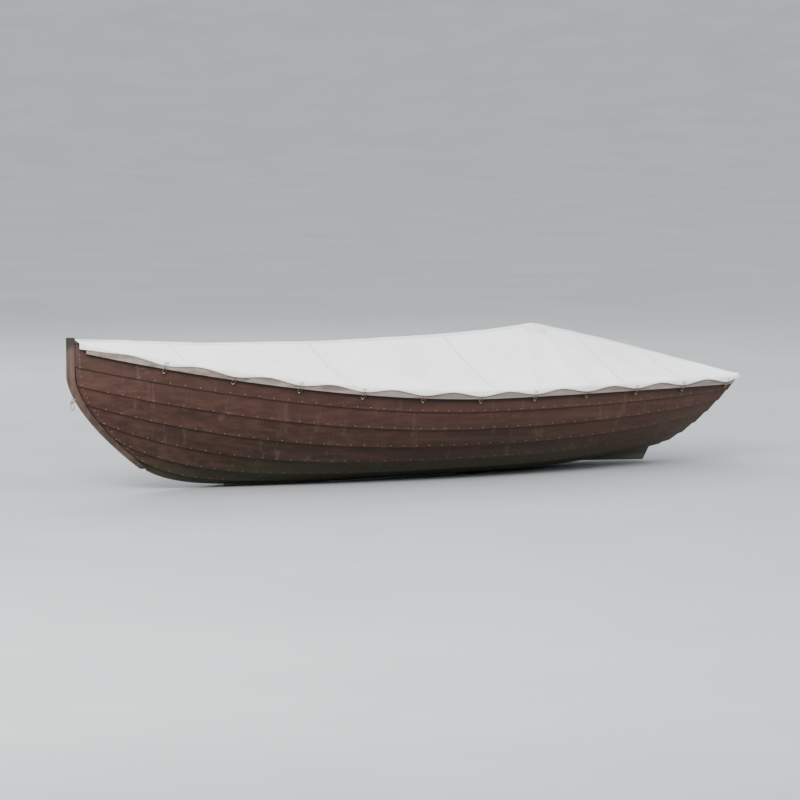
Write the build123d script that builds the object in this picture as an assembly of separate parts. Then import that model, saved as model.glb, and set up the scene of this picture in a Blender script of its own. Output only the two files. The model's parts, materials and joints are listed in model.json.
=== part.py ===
"""Square-stern wooden canoe, lapstrake planked over bent ribs, under a tented canvas cover.

Units are millimetres. +X points to the bow, +Y to port, +Z up. The origin is the centre of the
whole object's box in plan, at the level that the bottom runners stand on.

Each side has seven lapped strakes. A strake is a loft of flat sections between two lap lines, and
every lap line is a formula of u, which runs from 0 at the transom to 1 at the stem.
"""

import os
from math import cos, pi, radians, sin, tan

import numpy as np
from build123d import *

# ---------------------------------------------------------------- driving dimensions
STRAKES = 7
PLANK = 9.0  # plank thickness
LAP = 18.0  # width of each plank's overlap
SEAM = 0.4  # room for bedding compound between planks
U_WIDEST = 0.42  # where the hull is widest, as a share of its length from the transom

# Lap lines from the bottom board's edge (0) to the sheer (7): half breadth and height.
MID_Y = [121.0, 235.0, 345.0, 436.0, 503.0, 546.0, 568.0, 577.0]
MID_Z = [26.0, 45.0, 85.0, 148.0, 228.0, 320.0, 415.0, 510.0]
STERN_Y = [45.0, 120.0, 188.0, 245.0, 290.0, 323.0, 345.0, 358.0]
STERN_Z = [112.0, 150.0, 200.0, 260.0, 325.0, 390.0, 450.0, 508.0]
BOW_Z = [132.0, 215.0, 310.0, 410.0, 512.0, 615.0, 720.0, 826.0]
BOW_Y = 14.0  # half thickness of the inner stem, where the planks land

STEM_FACE_X = 2095.0  # front face of the stem above its knee
STEM_KNEE_Z = 650.0  # the stem is plumb above this height
STEM_RAKE = 445.0  # how far the stem falls back, down to STEM_FOOT_Z
STEM_FOOT_Z = 120.0
STEM_CURVE = 1.6
STEM_DEPTH = 40.0  # outer stem, from its face back to the plank ends
STEM_HEAD_Z = 862.0

TRANSOM_TOP_X = -2046.8  # forward face of the transom at the sheer
TRANSOM_RAKE = tan(radians(39.0))
TRANSOM = 24.0  # transom thickness

BASE_Z = 12.0  # underside of the bottom board, above the runners' feet
BOARD = 20.0  # bottom board thickness
SHOE = 3.0  # metal strip under the runners
RIB = 11.0
RIB_SET = 3.4  # from the planks' inner corners to a rib
RIB_WIDTH = 20.0
RIB_PITCH = 232.0
RIB_FIRST_X = -1500.0
RIBS = 13
RAIL_TALL = 46.0
RAIL_RISE = 6.0  # of its upper edge above the sheer
RAIL_BEDDING = 0.6
RAIL_THICK = 24.0
INWALE_THICK = 20.0
SEAT_Z = 300.0
SEAT = 20.0

BOW_EYE_Z = 520.0
STERN_EYE_Z = 430.0
EYE_SHANK = 5.0
EYE_R = 10.0
EYE_WIRE = 3.5
EYE_REACH = 16.0  # from the face that the eye is bolted to, out to its middle
RING_R = 22.0
RING_WIRE = 3.0
RING_DROP = EYE_R - EYE_WIRE - RING_WIRE - 0.3  # the ring's wire lies at the bottom of the eye

DRAIN_Z = 162.0
DRAIN_R = 11.0
DRAIN_WALL = 4.0
RUNNING_FIT = 0.07

ROWLOCK_X = -360.0
ROWLOCK_R = 6.5
ROWLOCK_INBOARD = 70.0
ROWLOCK_DEPTH = 37.0

POLE_X = -890.0
POLE_R = 16.0
POLE_WALL = 2.0
POLE_JOINT_Z = 520.0  # top of the outer tube
POLE_INNER_FOOT_Z = 330.0
POLE_TOP_Z = 800.0
POLE_CAP = 20.0

COVER = 2.4  # cloth thickness
COVER_GAP = 3.0  # between the cover's skirt and the rub rail
COVER_ENDS = (-2066.0, 2048.0)
RIDGE_X = [-2066.0, -1989.0, -1785.0, -1427.0, -1158.0, -890.0, -600.0, -220.0, 495.0, 1253.0, 2048.0]
RIDGE_Z = [552.0, 570.0, 622.0, 712.0, 776.0, 832.0, 806.0, 788.0, 779.0, 796.0, 850.0]
TIES = 11  # cover ties on each side
TIE_PITCH = 358.0
TIE_R = 1.7
HOOK_DROP = 62.0  # from the sheer down to a tie's hook

Y_AXIS = np.array([0.0, 1.0, 0.0])
Z_AXIS = np.array([0.0, 0.0, 1.0])
SIDES = {"port": 1.0, "starboard": -1.0}
nodes = {}


# ---------------------------------------------------------------- hull lines
def unit(v):
    return v / np.linalg.norm(v)


def stem_x(z):
    """Front face of the stem at a height."""
    drop = max(0.0, (STEM_KNEE_Z - z) / (STEM_KNEE_Z - STEM_FOOT_Z))
    return STEM_FACE_X - STEM_RAKE * drop**STEM_CURVE


def transom_x(z):
    """Forward face of the transom at a height."""
    return TRANSOM_TOP_X + (STERN_Z[-1] - z) * TRANSOM_RAKE


def bow_power(k):
    """Low lap lines stay flat until close to the stem, and the sheer rises all the way."""
    return 1.75 + 9.0 * ((STRAKES - k) / STRAKES) ** 3


def lap_line(k, u):
    """A point of lap line k on the port side."""
    ahead = max(0.0, (u - U_WIDEST) / (1.0 - U_WIDEST))
    astern = max(0.0, (U_WIDEST - u) / U_WIDEST)
    start_x = transom_x(STERN_Z[k])
    end_x = stem_x(BOW_Z[k]) - STEM_DEPTH
    low = (STRAKES - k) / STRAKES
    fine = 1.0 - ahead ** (2.1 - 0.25 * low)
    y = BOW_Y + (MID_Y[k] - BOW_Y) * fine ** (1.0 + 0.28 * low)
    y += (STERN_Y[k] - MID_Y[k]) * astern ** (2.0 + 0.5 * low)
    z = MID_Z[k] + (BOW_Z[k] - MID_Z[k]) * ahead ** bow_power(k)
    z += (STERN_Z[k] - MID_Z[k]) * astern ** (2.2 + 0.3 * low)
    return np.array([start_x + (end_x - start_x) * u, y, z])


def at_x(k, x):
    """The point of lap line k at a given x."""
    start, end = lap_line(k, 0.0)[0], lap_line(k, 1.0)[0]
    return lap_line(k, (x - start) / (end - start))


def sheer(x):
    return at_x(STRAKES, x)


def inner_y(x, z):
    """Half breadth inside the planking at x and z."""
    line = [at_x(k, x) for k in range(STRAKES + 1)]
    return float(np.interp(z, [p[2] for p in line], [p[1] for p in line]))


def board_z(x):
    """Underside of the bottom board."""
    return at_x(0, x)[2] - (MID_Z[0] - BASE_Z)


def stations(count):
    """Shares of the length, closer together towards both ends."""
    return [0.5 - 0.5 * cos(pi * i / (count - 1)) for i in range(count)]


def heading(k, u):
    """Direction of lap line k towards the bow."""
    step = 0.004
    return unit(lap_line(k, min(1.0, u + step)) - lap_line(k, u - step))


def plank_frames(u):
    """For each strake: lower and upper inner corner, the way up its face, and the way out of it."""
    laps = [lap_line(k, u) for k in range(STRAKES + 1)]
    frames = []
    for i in range(STRAKES):
        low = laps[0]
        if i:
            _, _, along, out = frames[-1]
            low = laps[i] - along * LAP + out * (PLANK + SEAM)
        along = unit(laps[i + 1] - low)
        ahead = heading(i, u) + heading(i + 1, u)
        frames.append((low, laps[i + 1], along, unit(np.cross(along, ahead))))
    return frames


def plank_section(i, u):
    """Strake i's outline: its upper outer edge is bevelled where the next strake lies on it."""
    frames = plank_frames(u)
    low, top, along, out = frames[i]
    corners = [low, top]
    if i + 1 < STRAKES:
        next_low, _, _, next_out = frames[i + 1]
        level = (next_low - top) @ next_out / (out @ next_out) - SEAM
        level = min(PLANK, max(1.5, level))
        corners += [top + out * level, top - along * LAP + out * PLANK]
    else:
        corners += [top + out * PLANK, top - along * LAP + out * PLANK]
    corners.append(low + out * PLANK)
    return corners


# ---------------------------------------------------------------- solids from sections
def flip(p, side):
    return (p[0], p[1] * side, p[2])


def ring(points, side=1.0):
    return Wire.make_polygon([Vector(*flip(p, side)) for p in points], close=True)


def loft(sections, side=1.0, ruled=False):
    """A solid through flat outlines with the same number of corners."""
    return Solid.make_loft([ring(s, side) for s in sections], ruled)


def block(x0, x1, y0, y1, z0, z1):
    size = Vector(x1 - x0, abs(y1 - y0), z1 - z0)
    centre = Vector((x0 + x1) / 2, (y0 + y1) / 2, (z0 + z1) / 2)
    return Pos(centre) * Box(size.X, size.Y, size.Z)


def prism(points, direction):
    """A flat outline pushed along a direction."""
    return Solid.extrude(Face(ring(points)), Vector(*direction))


def rod(start, end, radius):
    start, end = Vector(*start), Vector(*end)
    length = (end - start).length
    return Solid.make_cylinder(radius, length, Plane(origin=start, z_dir=end - start))


def tube(start, end, radius, bore):
    return rod(start, end, radius) - rod(start, end, bore)


def ring_solid(centre, axis, radius, wire_radius):
    return Solid.make_torus(radius, wire_radius, Plane(origin=Vector(*centre), z_dir=Vector(*axis)))


def put(name, *shapes):
    """Keeps solids under a node's name."""
    nodes[name] = [s for shape in shapes for s in shape.solids()]


# ---------------------------------------------------------------- planking and backbone
def abaft_transom():
    """Everything behind the transom's after face."""
    face = [(transom_x(z) - TRANSOM, -700.0, z) for z in (-50.0, 700.0)]
    return prism([*face, (-2600.0, -700.0, 700.0), (-2600.0, -700.0, -50.0)], (0, 1400.0, 0))


def planking():
    for side_name, side in SIDES.items():
        for i in range(STRAKES):
            sections = [plank_section(i, u) for u in [-0.013, *stations(17)[1:]]]
            name = {0: "garboard", STRAKES - 1: "sheer_strake"}.get(i, f"strake_{i + 1}")
            put(f"{name}_{side_name}", loft(sections, side) - abaft_transom())


def bottom_board():
    sections = []
    for u in [-0.013, *stations(17)[1:-1], 0.996]:
        x, y, z = lap_line(0, u) - (0.0, 1.0, MID_Z[0] - BASE_Z)
        sections.append([(x, -y, z), (x, y, z), (x, y, z + BOARD), (x, -y, z + BOARD)])
    put("bottom_board", loft(sections) - abaft_transom())


def runners():
    """Two oak strips under the bottom board, with flat metal shoes that the canoe stands on."""
    for side_name, side in SIDES.items():
        sections = []
        for x in np.linspace(-1150.0, 1150.0, 13):
            z = board_z(x)
            y = 78.0 - 34.0 * (x / 1150.0) ** 2
            foot = z - BASE_Z + SHOE + 0.2
            top = z - 0.2
            sections.append([(x, y - 14, top), (x, y + 14, top), (x, y + 11, foot), (x, y - 11, foot)])
        put(f"runner_{side_name}", loft(sections, side))
    shoe = [block(-320.0, 520.0, 70.0 * s, 84.0 * s, 0.0, SHOE) for s in SIDES.values()]
    put("runner_shoes", *shoe)


def stem():
    """Outer stem ahead of the plank ends, and inner stem between them, as level slices."""
    nose, cheek = 9.0, 33.0
    outer, inner = [], []
    for z in np.linspace(122.0, STEM_HEAD_Z, 31):
        front = stem_x(z)
        rear = front - STEM_DEPTH + 7.0
        outer.append([(front, nose, z), (rear, cheek, z), (rear, -cheek, z), (front, -nose, z)])
    for z in np.linspace(230.0, 800.0, 25):
        front = stem_x(z) - STEM_DEPTH + 5.0
        rear = front - 58.0
        half = BOW_Y - 1.2
        inner.append([(front, half, z), (rear, half, z), (rear, -half, z), (front, -half, z)])
    face, out = bow_face()
    bolt = rod(face - out * 120.0, face + out * 20.0, EYE_SHANK + 0.3)
    put("outer_stem", loft(outer) - bolt)
    put("inner_stem", loft(inner) - bolt)


def bow_face():
    """Where the bow eye meets the stem, and the way out of it."""
    slope = (stem_x(BOW_EYE_Z + 1) - stem_x(BOW_EYE_Z - 1)) / 2
    return np.array([stem_x(BOW_EYE_Z), 0.0, BOW_EYE_Z]), unit(np.array([1.0, 0.0, -slope]))


def stern_face(z):
    """A point in the middle of the transom's after face, and the way out of it."""
    return np.array([transom_x(z) - TRANSOM, 0.0, z]), unit(np.array([-1.0, 0.0, -TRANSOM_RAKE]))


def transom_rim(u):
    """Port half of the transom's edge, stepped like the planks that land on it."""
    rim = [(lap_line(0, u)[1] - 1.0, lap_line(0, u)[2] + 10.5)]
    for i, (low, top, along, out) in enumerate(plank_frames(u)):
        start = low + along * (LAP + 2.5 if i else 8.0) - out * 1.3
        rim += [(start[1], start[2]), ((top - out * 1.3)[1], (top - out * 1.3)[2])]
    return rim


def transom():
    """Raked flat transom with bevelled edges, and the cap along its crown."""
    crown = 8.0
    outlines = []
    for u, depth in ((0.0, 0.0), (-0.0066, TRANSOM)):
        rim = transom_rim(u)
        top_y, top_z = rim[-1]
        crest = [(top_y * c, STERN_Z[-1] + crown * (1 - c * c)) for c in (0.75, 0.5, 0.25, 0.0)]
        half = rim + crest
        outline = half + [(-y, z) for y, z in reversed(half[:-1])]
        outlines.append([(transom_x(z) - depth, y, z) for y, z in outline])
    bored = loft(outlines, ruled=True)
    for z, radius in ((STERN_EYE_Z, EYE_SHANK + 0.3), (DRAIN_Z, DRAIN_R + DRAIN_WALL + 0.2)):
        face, out = stern_face(z)
        bored -= rod(face - out * 60.0, face + out * 10.0, radius)
    put("transom", bored)
    half = [(STERN_Y[-1] + 6.0, STERN_Z[-1])]
    half += [(STERN_Y[-1] * c, STERN_Z[-1] + crown * (1 - c * c)) for c in (0.75, 0.5, 0.25, 0.0)]
    cap = half + [(-y, z) for y, z in reversed(half[:-1])]
    lower = [(transom_x(z) + 6, y, z + 1.6) for y, z in cap]
    upper = [(transom_x(z) + 6 - 12 * TRANSOM_RAKE, y, z + 13.6) for y, z in reversed(cap)]
    put("transom_cap", prism(lower + upper, (-TRANSOM - 14, 0, 0)))


def skeg():
    """Fin that keeps the canoe straight, under the rising bottom aft."""
    top = [(x, 0.0, board_z(x) - 0.3) for x in np.linspace(-1690.0, -1165.0, 8)]
    points = [*top, (-1165.0, 0.0, 3.0 + board_z(-1165.0) - BASE_Z), (-1640.0, 0.0, 10.0)]
    body = prism([(x, -11.0, z) for x, _, z in points], (0, 22.0, 0))
    put("skeg", body)


# ---------------------------------------------------------------- frame inside the planking
def rib_line(x, inset):
    """Port half of a rib's curve, from its head down to the middle of the bottom."""
    points = []
    laps = [at_x(k, x) for k in range(STRAKES, 0, -1)]
    laps[0] = laps[0] + (laps[1] - laps[0]) * 0.06
    for i, p in enumerate(laps):
        before = laps[max(0, i - 1)]
        after = laps[min(len(laps) - 1, i + 1)]
        run = unit(after - before)
        inward = np.array([0.0, run[2], -run[1]])
        points.append(p + inward * inset * -1.0 if inward[1] > 0 else p + inward * inset)
    flat = board_z(x) + BOARD + inset
    edge = at_x(0, x)[1]
    points.append(np.array([x, edge * 0.92, flat + 0.6]))
    points.append(np.array([x, 0.0, flat]))
    return points


def rib_outline(x, station):
    outer, inner = rib_line(x, RIB_SET), rib_line(x, RIB_SET + RIB)
    loops = []
    for line in (outer, inner):
        mirrored = [np.array([p[0], -p[1], p[2]]) for p in reversed(line[:-1])]
        loops.append([np.array([station, p[1], p[2]]) for p in line + mirrored])
    first = Edge.make_spline([Vector(*p) for p in loops[0]])
    second = Edge.make_spline([Vector(*p) for p in loops[1]])
    head = Edge.make_line(first.position_at(1), second.position_at(1))
    other = Edge.make_line(second.position_at(0), first.position_at(0))
    return Wire([first, head, second, other])


def rib_positions():
    return [RIB_FIRST_X + RIB_PITCH * i for i in range(RIBS)]


def ribs():
    made = []
    half = RIB_WIDTH / 2
    for x in rib_positions():
        faces = [rib_outline(x + step, x + step) for step in (-half, half)]
        made.append(Solid.make_loft(faces, True))
    put("ribs", *made)


def rail_corner(u, out_by, up_by):
    """A point beside the sheer at u, measured square out from the planking and up its face."""
    _, top, along, out = plank_frames(u)[-1]
    return top + out * out_by + along * up_by


def rail(first, last, near, far, low, high):
    corners = ((near, low), (far, low), (far, high), (near, high))
    return [[rail_corner(u, *c) for c in corners] for u in np.linspace(first, last, 19)]


def rails():
    near = PLANK + RAIL_BEDDING
    inside = RIB_SET + RIB + 2.4
    for side_name, side in SIDES.items():
        outwale = rail(0.004, 0.986, near, near + RAIL_THICK, RAIL_RISE - RAIL_TALL, RAIL_RISE)
        put(f"rub_rail_{side_name}", loft(outwale, side))
        inwale = rail(0.03, 0.93, -inside - INWALE_THICK, -inside, -34.0, -2.0)
        put(f"inwale_{side_name}", loft(inwale, side))
        riser = []
        for x in np.linspace(-1560.0, 1300.0, 15):
            z = SEAT_Z - 1.0
            low = inner_y(x, z - 36) - RIB - 8.0
            high = min(low + 12.0, inner_y(x, z) - RIB - 8.0)
            riser.append([(x, low - 14, z - 36), (x, low, z - 36), (x, high, z), (x, low - 14, z)])
        put(f"riser_{side_name}", loft(riser, side))


def knees():
    """Breasthook behind the stem, quarter knees in the transom's corners, and thwart knees."""
    front, rear = rail_corner(0.972, -3.0, 2.0), rail_corner(0.935, -3.0, 2.0)
    slope = (front[2] - rear[2]) / (front[0] - rear[0])
    throat = (rear[0] + 60.0, 0.0, rear[2] + 60.0 * slope)
    hook = [front, rear, throat, flip(rear, -1), flip(front, -1)]
    put("breasthook", prism(hook, (0, 0, -24.0)))
    quarter = []
    for side in SIDES.values():
        corner = rail_corner(0.006, -5.5, -3.0)
        along = rail_corner(0.026, -5.5, -3.0)
        across = corner + (0.0, -95.0, 0.0)
        flat = [flip((p[0] + 4.0, p[1], corner[2]), side) for p in (corner, along, across)]
        quarter.append(prism(flat, (0, 0, -20.0)))
    put("quarter_knees", *quarter)
    thwart = []
    for side in SIDES.values():
        for x in (-20.0, 150.0):
            z = SEAT_Z + SEAT + 0.4
            wall = inner_y(x, z) - RIB - 10.0
            high = inner_y(x, z + 95.0) - RIB - 10.0
            flat = [(x - 9, wall, z), (x - 9, wall - 100, z), (x - 9, high - 12, z + 95)]
            flat.append((x - 9, min(high, wall + 14), z + 95))
            thwart.append(prism([flip(p, side) for p in flat], (18.0, 0, 0)))
    put("thwart_knees", *thwart)


# ---------------------------------------------------------------- seats and floorboards
def seat(x0, x1, setback=11.0):
    """A thwart cut to the hull's shape inside the ribs."""
    z = SEAT_Z + SEAT / 2
    xs = np.linspace(x0, x1, 5)
    side = [(x, inner_y(x, z) - RIB - setback) for x in xs]
    outline = [(x, y, SEAT_Z) for x, y in side] + [(x, -y, SEAT_Z) for x, y in reversed(side)]
    return prism(outline, (0, 0, SEAT))


def seats():
    put("bow_seat", seat(1060.0, 1310.0))
    put("middle_seat", seat(-60.0, 190.0))
    put("stern_seat", seat(-1540.0, -1180.0))
    posts = []
    for x in (65.0, 1160.0, -1360.0):
        foot = board_z(x) + BOARD + RIB_SET + RIB + 16.0
        posts.append(block(x - 16, x + 16, -16, 16, foot + 0.6, SEAT_Z - 0.3))
    put("seat_posts", *posts)


def rib_top(x, y):
    """Height of the ribs' upper face at x and y, with room for the curve between its points."""
    line = rib_line(x, RIB_SET + RIB)[::-1]
    return float(np.interp(y, [p[1] for p in line], [p[2] for p in line])) + 1.8


def slat(y0, y1, x0, x1):
    sections = []
    for x in np.linspace(x0, x1, 11):
        near, far = rib_top(x, y0), rib_top(x, y1)
        sections.append([(x, y0, near), (x, y1, far), (x, y1, far + 11), (x, y0, near + 11)])
    return sections


def floorboards():
    """A fixed middle slat, and a lift-out board of two slats and three battens each side."""
    middle = slat(0.3, 34.0, -1420.0, 1100.0)
    put("floor_slat_middle", loft(middle), loft(middle, -1.0))
    for side_name, side in SIDES.items():
        boards = [loft(slat(y, y + 56.0, -790.0, 720.0), side) for y in (44.0, 106.0)]
        for i in (4, 6, 8):
            x = RIB_FIRST_X + RIB_PITCH * (i + 0.5) - 12.0
            z = rib_top(x, 50.0)
            flat = [(x, 50.0, z - 9), (x, 90.0, z - 9), (x, 154.0, rib_top(x, 154.0) - 8)]
            flat += [(x, 154.0, rib_top(x, 154.0) - 0.3), (x, 106, rib_top(x, 106) - 0.3)]
            flat += [(x, 50.0, z - 0.3)]
            boards.append(prism([flip(p, side) for p in flat], (24.0, 0, 0)))
        put(f"floorboard_{side_name}", *boards)


# ---------------------------------------------------------------- fittings
def eye_bolt(face, out, inward):
    """A bolt with a flange against the face and an eye beyond it, and the bolt's nut."""
    shank = rod(face - out * (inward + 9.0), face + out * 8.0, EYE_SHANK)
    flange = rod(face + out * 0.3, face + out * 3.3, 10.0)
    eye = ring_solid(face + out * EYE_REACH, Y_AXIS, EYE_R, EYE_WIRE)
    hole = rod(face - out * (inward + 20.0), face, EYE_SHANK + 0.1)
    washer = rod(face - out * (inward + 2.0), face - out * (inward + 0.3), 11.0) - hole
    nut = rod(face - out * (inward + 7.5), face - out * (inward + 2.2), 8.0) - hole
    return shank + flange + eye, [washer, nut]


def mooring_ring(face, out):
    """A ring that hangs at the bottom of the eye."""
    centre = face + out * EYE_REACH - Z_AXIS * (RING_DROP + RING_R)
    return ring_solid(centre, (1, 0, 0), RING_R, RING_WIRE)


def mooring():
    places = {"bow": (*bow_face(), 84.0), "stern": (*stern_face(STERN_EYE_Z), TRANSOM * 0.7775)}
    nuts = []
    for name, (face, out, inward) in places.items():
        bolt, fasteners = eye_bolt(face, out, inward)
        put(f"{name}_eye", bolt)
        put(f"{name}_ring", mooring_ring(face, out))
        nuts += fasteners
    put("eye_nuts", *nuts)


def drain():
    """Brass bush through the transom near the bottom, and the plug that pulls out of it."""
    face, out = stern_face(DRAIN_Z)
    depth = TRANSOM * 0.7775 + 3.0
    bush = rod(face - out * depth, face + out * 0.4, DRAIN_R + DRAIN_WALL)
    bush += rod(face + out * 0.3, face + out * 3.0, DRAIN_R + 10.0)
    put("drain_bush", bush - rod(face - out * 60.0, face + out * 10.0, DRAIN_R))
    plug = rod(face - out * (depth - 4.0), face + out * 3.3, DRAIN_R - RUNNING_FIT)
    plug += rod(face + out * 3.2, face + out * 7.0, DRAIN_R + 5.0)
    plug += rod(face + out * 6.5, face + out * 17.0, 5.0)
    put("drain_plug", plug)


def beside(x, out_by, up_by):
    """A point beside the sheer as rail_corner gives it, at a given x."""
    shares = np.linspace(-0.01, 1.0, 203)
    line = [rail_corner(u, out_by, up_by) for u in shares]
    xs = [p[0] for p in line]
    return np.array([x, *(np.interp(x, xs, [p[i] for p in line]) for i in (1, 2))])


def rowlocks():
    """Oak blocks inside the inwales, with brass sockets for the rowlocks' stems."""
    blocks, sockets = [], []
    for side in SIDES.values():
        middle = beside(ROWLOCK_X, -ROWLOCK_INBOARD, -3.0)
        near, far = middle[1] + 16.0, middle[1] - 16.0
        ends = [beside(ROWLOCK_X + step, -38.5, -3.0)[1] for step in (-70.0, 70.0)]
        top = middle[2]
        flat = [(ROWLOCK_X - 70, ends[0], top), (ROWLOCK_X + 70, ends[1], top)]
        flat += [(ROWLOCK_X + 70, far, top), (ROWLOCK_X - 70, far, top)]
        centre = (ROWLOCK_X, (near + far) / 2 * side, top)
        above = (ROWLOCK_X, centre[1], top + 20.0)
        foot = (ROWLOCK_X, centre[1], top - ROWLOCK_DEPTH)
        block_solid = prism([flip(p, side) for p in flat], (0, 0, -34.0))
        blocks.append(block_solid - rod((*foot[:2], top - 60.0), above, ROWLOCK_R + 3.2))
        plate = block(ROWLOCK_X - 32, ROWLOCK_X + 32, centre[1] - 13, centre[1] + 13, top + 0.3, top + 3)
        socket = plate + rod((*foot[:2], foot[2] - 3.0), (*foot[:2], top + 3.0), ROWLOCK_R + 3.0)
        sockets.append(socket - rod(foot, above, ROWLOCK_R))
    put("rowlock_blocks", *blocks)
    put("rowlock_sockets", *sockets)


def pole():
    """Telescopic pole under the cover: foot block, outer tube, locking collar, inner tube, cap."""
    foot = max(rib_top(POLE_X + step, 0.0) for step in (-60.0, 60.0)) + 11.6
    step_block = block(POLE_X - 60, POLE_X + 60, -32.0, 32.0, foot, foot + 18.0)
    socket = rod((POLE_X, 0, foot + 8.0), (POLE_X, 0, foot + 40.0), POLE_R + 0.2)
    put("pole_foot", step_block - socket)
    bore = POLE_R - POLE_WALL
    put("pole_outer", tube((POLE_X, 0, foot + 8.3), (POLE_X, 0, POLE_JOINT_Z), POLE_R, bore))
    inner_r = bore - RUNNING_FIT
    inner_foot, inner_top = (POLE_X, 0, POLE_INNER_FOOT_Z), (POLE_X, 0, POLE_TOP_Z)
    put("pole_inner", tube(inner_foot, inner_top, inner_r, inner_r - 2))
    collar = rod((POLE_X, 0, POLE_JOINT_Z + 0.3), (POLE_X, 0, POLE_JOINT_Z + 32.0), 20.0)
    for i in range(8):
        angle = 2 * pi * i / 8
        x, y = POLE_X + 20.5 * cos(angle), 20.5 * sin(angle)
        collar += rod((x, y, POLE_JOINT_Z + 4.0), (x, y, POLE_JOINT_Z + 28.0), 3.0)
    through = rod((POLE_X, 0, POLE_JOINT_Z - 5.0), (POLE_X, 0, POLE_JOINT_Z + 40.0), bore)
    put("pole_collar", collar - through)
    cap = rod((POLE_X, 0, POLE_TOP_Z + 0.3), (POLE_X, 0, POLE_TOP_Z + POLE_CAP), 17.0)
    cap = fillet(cap.edges().group_by(Axis.Z)[-1], 9.0)
    put("pole_cap", cap)


# ---------------------------------------------------------------- cover
def tie_positions():
    return [POLE_X + TIE_PITCH * (i - 3) for i in range(TIES)]


def skirt_y(x):
    """Inside of the cover's skirt: clear of the rub rail, so that the cover lifts straight off."""
    reach = PLANK + RAIL_BEDDING + RAIL_THICK
    corners = [beside(x, reach, up)[1] for up in (RAIL_RISE, RAIL_RISE - RAIL_TALL)]
    return max(corners) + COVER_GAP


def shoulder_z(x):
    """Underside of the cover where it turns down over the rail."""
    reach = PLANK + RAIL_BEDDING + RAIL_THICK
    top = max(beside(x, out, RAIL_RISE)[2] for out in (PLANK, reach))
    return top + 3.0 + 9.0 * max(0.0, (-1950.0 - x) / 116.0)


def hem_z(x):
    """The hem is scalloped, lowest at each tie, and comes down again at the bow."""
    cycle = (x - POLE_X) / TIE_PITCH
    last = tie_positions()[-1] + TIE_PITCH / 2
    if x > last:
        return sheer(x)[2] - 2.0 - 20.0 * (x - last) / (COVER_ENDS[1] - last)
    return sheer(x)[2] - 13.0 - 11.0 * cos(2 * pi * cycle)


def cover_section(x):
    """One half's outline: the outer skin from the ridge down to the hem, then the inner one back."""
    y, low = skirt_y(x), shoulder_z(x)
    ridge = float(np.interp(x, RIDGE_X, RIDGE_Z)) - COVER
    outer, inner = [], []
    for share in (0.0, 0.12, 0.3, 0.55, 0.8):
        z = low + (ridge - low) * (1.0 - share) ** 1.18
        at = max(0.4, share * y)
        inner.append((x, at, z))
        outer.append((x, at, z + COVER * 1.04))
    inner += [(x, y - 7.0, low + 3.0), (x, y, low - 5.0), (x, y, hem_z(x))]
    outer += [(x, y - 6.0, low + 3.0 + COVER), (x, y + COVER, low - 4.0), (x, y + COVER, hem_z(x))]
    return outer + inner[::-1]


def cover():
    """Two canvas halves that meet at the ridge, with tie loops at the hem and tabs over them."""
    ties = tie_positions()
    quarters = [ties[0] + TIE_PITCH / 4 * i for i in range(1, 4 * TIES + 1)]
    stops = sorted({*COVER_ENDS, ties[0], *quarters, 2011.0})
    for side_name, side in SIDES.items():
        put(f"cover_{side_name}", loft([cover_section(x) for x in stops], side))
    tabs, hooks, loops = [], [], []
    for side in SIDES.values():
        for x in ties:
            low, high = hem_z(x) + 2.0, hem_z(x) + 20.0
            ends = [(x + step, skirt_y(x + step) + COVER + 0.7) for step in (-13.0, 13.0)]
            flat = [(ends[0][0], ends[0][1], low), (ends[1][0], ends[1][1], low)]
            flat += [(ends[1][0], ends[1][1], high), (ends[0][0], ends[0][1], high)]
            tabs.append(prism([flip(p, side) for p in flat], (0, 1.6 * side, 0)))
            root, way = beside(x, PLANK, -HOOK_DROP), outward(x)
            start, tip = root + way * 0.6, root + way * 17.0
            peg = rod(flip(start, side), flip(tip, side), 3.0)
            peg += rod(flip(tip - way * 2.0, side), flip(tip, side), 4.6)
            hooks.append(peg)
            loops.append(tie_loop(root + way * 10.0, way, side))
    put("cover_tabs", *tabs)
    put("tie_hooks", *hooks)
    put("tie_loops", *loops)


def outward(x):
    """The way out of the sheer strake near x."""
    start, end = lap_line(STRAKES, 0.0)[0], lap_line(STRAKES, 1.0)[0]
    return plank_frames((x - start) / (end - start))[-1][3]


def tie_loop(peg, way, side):
    """Elastic cord from the hem, outside the rail and around the hook's peg."""
    across = unit(np.cross(Z_AXIS, way))
    reach = PLANK + RAIL_BEDDING + RAIL_THICK
    strands = []
    for step in (-7.0, 7.0):
        foot = peg + across * step + Z_AXIS * 2.0
        x = foot[0]
        rail_foot = min(beside(x, out, RAIL_RISE - RAIL_TALL)[2] for out in (PLANK, reach))
        top = (x, skirt_y(x) + COVER / 2, hem_z(x) - 1.4)
        strands.append([top, (x, skirt_y(x) + 1.8, rail_foot + 1.0), foot])
    points = [*strands[0], peg - Z_AXIS * (4.4 + TIE_R), *reversed(strands[1])]
    path = Edge.make_spline([Vector(*flip(p, side)) for p in points])
    profile = Plane(origin=path.position_at(0), z_dir=path.tangent_at(0))
    circle = Wire.make_circle(TIE_R, profile)
    return Solid.sweep(Face(circle), path)


# ---------------------------------------------------------------- run
def main():
    planking()
    bottom_board()
    runners()
    stem()
    transom()
    skeg()
    ribs()
    rails()
    knees()
    seats()
    floorboards()
    mooring()
    drain()
    rowlocks()
    pole()
    cover()
    os.makedirs("parts", exist_ok=True)
    for name, solids in nodes.items():
        shape = solids[0] if len(solids) == 1 else Compound(children=solids)
        export_step(shape, f"parts/{name}.step")
        print(name, len(solids), round(sum(s.volume for s in solids) / 1000.0, 1), "cm3")


main()
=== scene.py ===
"""Square-stern canoe under a tented canvas cover: materials, cloth, rivets, light and camera."""

import json
from math import cos, exp, pi, radians, sin, sqrt, tan, tau

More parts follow.
